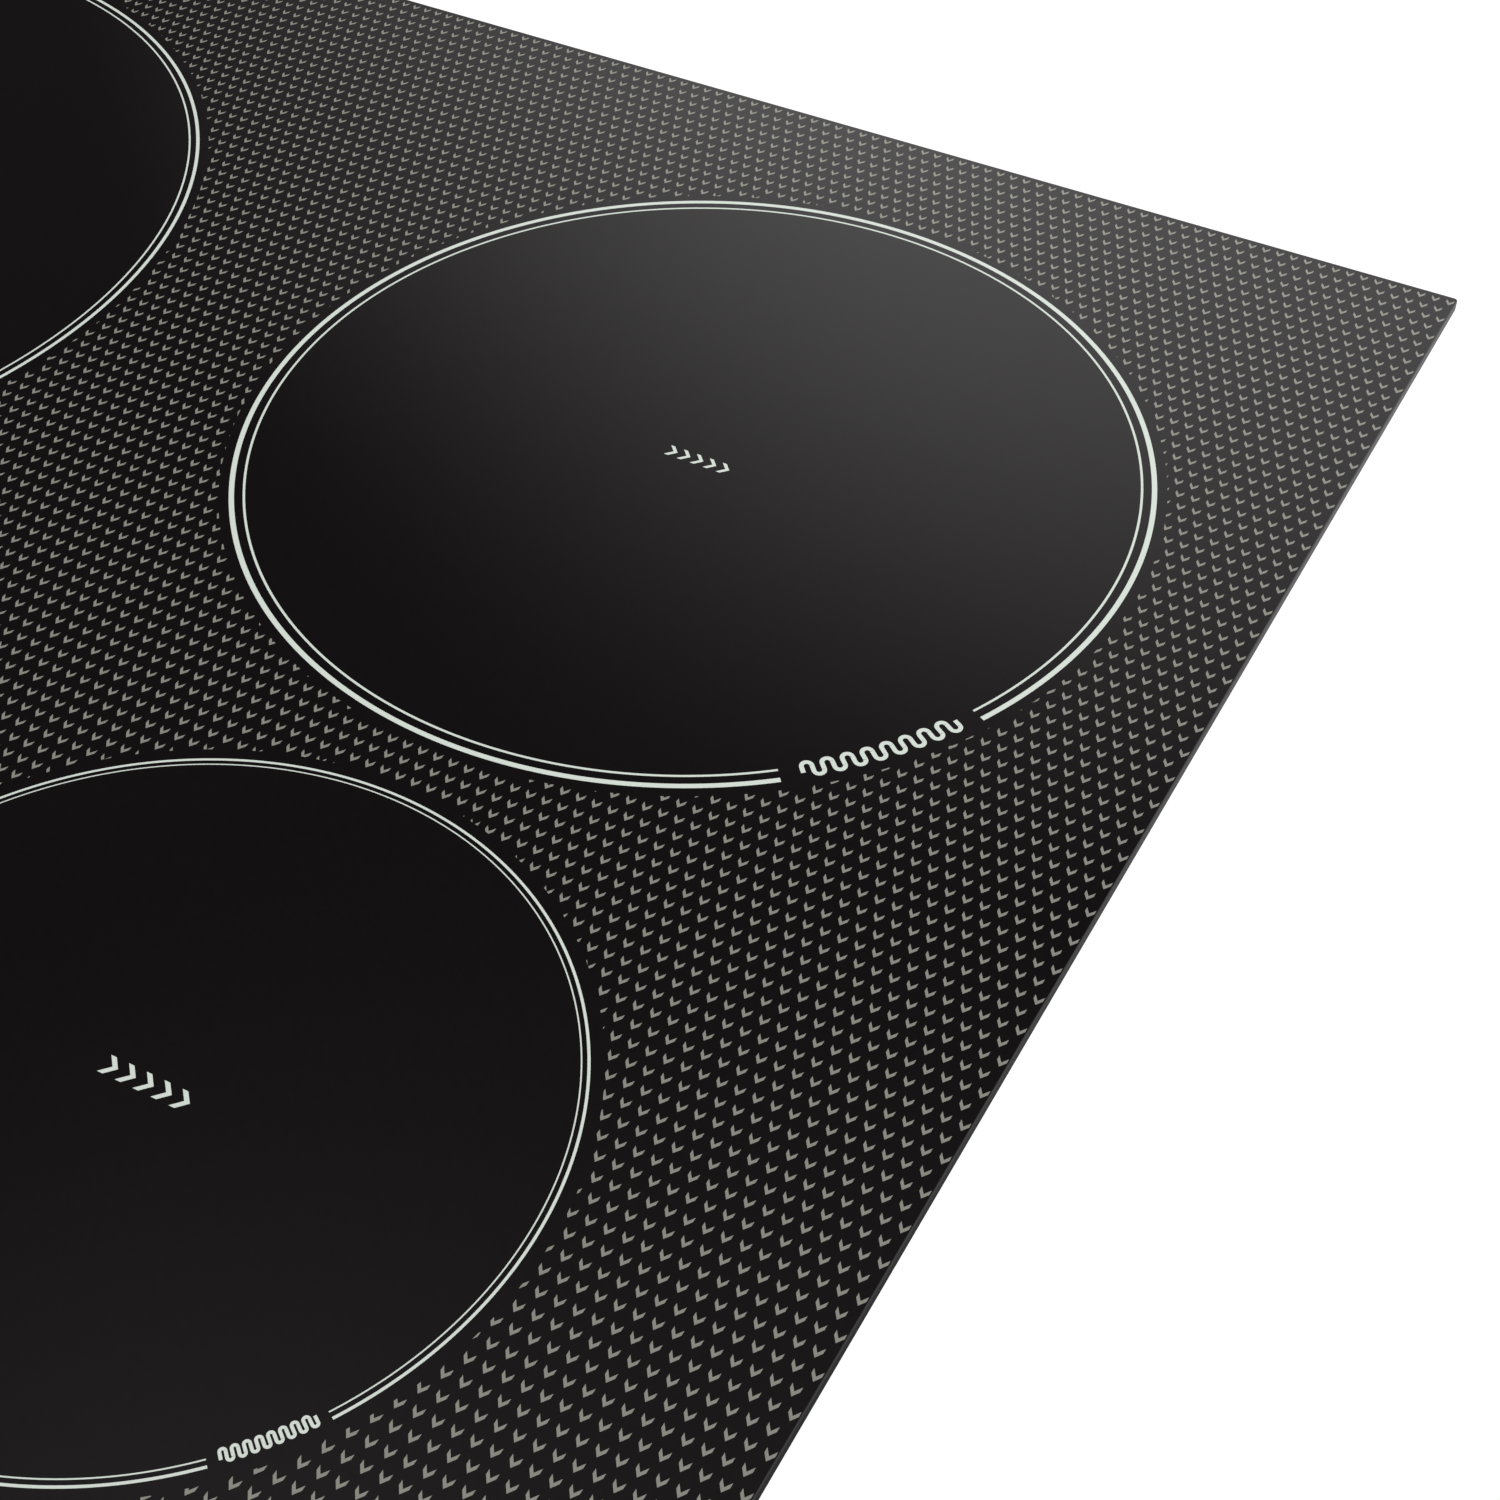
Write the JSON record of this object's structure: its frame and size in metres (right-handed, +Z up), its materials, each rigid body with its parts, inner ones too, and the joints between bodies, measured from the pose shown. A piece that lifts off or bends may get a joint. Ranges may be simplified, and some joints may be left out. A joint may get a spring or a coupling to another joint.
{
  "type": "electric induction cooktop",
  "caption": "Built-in induction cooktop: black glass-ceramic plate with ring-marked cooking zones over a shallow steel case that drops into a worktop cut-out.",
  "frame": {"origin": "centre of the underside of the base panel's bounding box, at the lowest level of the case", "axes": "+X to the right along the cooktop's width, +Y to the rear, -Y towards the cook, +Z up out of the glass"},
  "size_m": [0.58, 0.51, 0.056],
  "materials": {
    "black_glass": "polished black glass-ceramic with printed rings and marks",
    "silicone": "cured black sealant",
    "foam_seal": "closed-cell foam strip",
    "case_steel": "zinc-coated sheet steel",
    "screw_steel": "zinc-plated steel",
    "spring_steel": "spring steel",
    "aluminium_sheet": "plain aluminium sheet",
    "carrier_plastic": "glass-filled heat-resistant plastic",
    "litz_wire": "enamelled stranded wire",
    "ferrite": "sintered ferrite, dark grey",
    "mica": "mica and fibre insulation",
    "ceramic": "white ceramic cap",
    "circuit_board": "green solder mask",
    "heatsink_aluminium": "extruded aluminium",
    "black_plastic": "moulded black plastic",
    "motor_steel": "turned steel",
    "capacitor_film": "plastic-cased capacitors",
    "choke_copper": "enamelled copper wire on a ring core",
    "display_red": "smoked red display window",
    "ribbon_grey": "grey ribbon cable",
    "wire_silicone": "silicone-sleeved wire",
    "terminal_plastic": "moulded off-white plastic",
    "terminal_brass": "brass screws"
  },
  "bodies": {
    "hob": {"glass_top": "black_glass", "glass_bond": "silicone", "seal_strip": "foam_seal", "case_frame": "case_steel", "base_panel": "case_steel", "clip_brackets": "case_steel", "case_screws": "screw_steel", "coil_screws": "screw_steel", "standoffs": "screw_steel", "touch_springs": "spring_steel", "sensor_spring_rear_right": "spring_steel", "sensor_spring_front_right": "spring_steel", "sensor_spring_rear_left": "spring_steel", "sensor_spring_front_left": "spring_steel", "coil_plate": "aluminium_sheet", "coil_carrier_rear_right": "carrier_plastic", "coil_carrier_front_right": "carrier_plastic", "coil_carrier_rear_left": "carrier_plastic", "coil_carrier_front_left": "carrier_plastic", "winding_rear_right": "litz_wire", "winding_front_right": "litz_wire", "winding_rear_left": "litz_wire", "winding_front_left": "litz_wire", "ferrites_rear_right": "ferrite", "ferrites_front_right": "ferrite", "ferrites_rear_left": "ferrite", "ferrites_front_left": "ferrite", "insulation_rear_right": "mica", "insulation_front_right": "mica", "insulation_rear_left": "mica", "insulation_front_left": "mica", "power_board_left": "circuit_board", "power_board_right": "circuit_board", "control_board": "circuit_board", "heatsinks": "heatsink_aluminium", "power_transistors": "black_plastic", "relays": "black_plastic", "fan_housings": "black_plastic", "control_carrier": "black_plastic", "cable_clamp": "black_plastic", "fan_motors": "motor_steel", "capacitors": "capacitor_film", "filter_chokes": "choke_copper", "display_modules": "display_red", "control_ribbon": "ribbon_grey", "coil_leads": "wire_silicone", "wiring_harness": "wire_silicone", "terminal_block": "terminal_plastic", "terminal_screws": "terminal_brass"},
    "spring_clip_front_left": {"spring_clip_front_left": "spring_steel"},
    "spring_clip_front_right": {"spring_clip_front_right": "spring_steel"},
    "spring_clip_rear_left": {"spring_clip_rear_left": "spring_steel"},
    "spring_clip_rear_right": {"spring_clip_rear_right": "spring_steel"},
    "terminal_cover": {"terminal_cover": "terminal_plastic"},
    "fan_impeller_left": {"fan_impeller_left": "black_plastic"},
    "fan_impeller_right": {"fan_impeller_right": "black_plastic"},
    "sensor_rear_right": {"sensor_rear_right": "ceramic"},
    "sensor_front_right": {"sensor_front_right": "ceramic"},
    "sensor_rear_left": {"sensor_rear_left": "ceramic"},
    "sensor_front_left": {"sensor_front_left": "ceramic"}
  },
  "joints": [
    {"name": "fan_left_spin", "type": "hinge", "parent": "hob", "child": "fan_impeller_left", "pos_m": [-0.16, 0.128, 0.015], "axis": [0, 0, 1], "continuous": true},
    {"name": "fan_right_spin", "type": "hinge", "parent": "hob", "child": "fan_impeller_right", "pos_m": [0.16, 0.128, 0.015], "axis": [0, 0, 1], "continuous": true},
    {"name": "sensor_rear_right_press", "type": "slide", "parent": "hob", "child": "sensor_rear_right", "axis": [0, 0, 1], "range_m": [-0.002, 0], "stiffness_N_per_m": 300, "springref_m": 0.002, "deforming": ["sensor_spring_rear_right"]},
    {"name": "sensor_front_right_press", "type": "slide", "parent": "hob", "child": "sensor_front_right", "axis": [0, 0, 1], "range_m": [-0.002, 0], "stiffness_N_per_m": 300, "springref_m": 0.002, "deforming": ["sensor_spring_front_right"]},
    {"name": "sensor_rear_left_press", "type": "slide", "parent": "hob", "child": "sensor_rear_left", "axis": [0, 0, 1], "range_m": [-0.002, 0], "stiffness_N_per_m": 300, "springref_m": 0.002, "deforming": ["sensor_spring_rear_left"]},
    {"name": "sensor_front_left_press", "type": "slide", "parent": "hob", "child": "sensor_front_left", "axis": [0, 0, 1], "range_m": [-0.002, 0], "stiffness_N_per_m": 300, "springref_m": 0.002, "deforming": ["sensor_spring_front_left"]},
    {"name": "clip_front_left_flex", "type": "hinge", "parent": "hob", "child": "spring_clip_front_left", "pos_m": [-0.2764, -0.16, 0.04], "axis": [0, 1, 0], "range_deg": [-6, 0], "stiffness_Nm_per_rad": 0.2, "springref_deg": 5.73},
    {"name": "clip_front_right_flex", "type": "hinge", "parent": "hob", "child": "spring_clip_front_right", "pos_m": [0.2764, -0.16, 0.04], "axis": [0, 1, 0], "range_deg": [0, 6], "stiffness_Nm_per_rad": 0.2, "springref_deg": -5.73},
    {"name": "clip_rear_left_flex", "type": "hinge", "parent": "hob", "child": "spring_clip_rear_left", "pos_m": [-0.2764, 0.16, 0.04], "axis": [0, 1, 0], "range_deg": [-6, 0], "stiffness_Nm_per_rad": 0.2, "springref_deg": 5.73},
    {"name": "clip_rear_right_flex", "type": "hinge", "parent": "hob", "child": "spring_clip_rear_right", "pos_m": [0.2764, 0.16, 0.04], "axis": [0, 1, 0], "range_deg": [0, 6], "stiffness_Nm_per_rad": 0.2, "springref_deg": -5.73},
    {"name": "terminal_cover_hinge", "type": "hinge", "parent": "hob", "child": "terminal_cover", "pos_m": [0.145, 0.1945, 0.0029], "axis": [-1, 0, 0], "range_deg": [0, 90]}
  ]
}
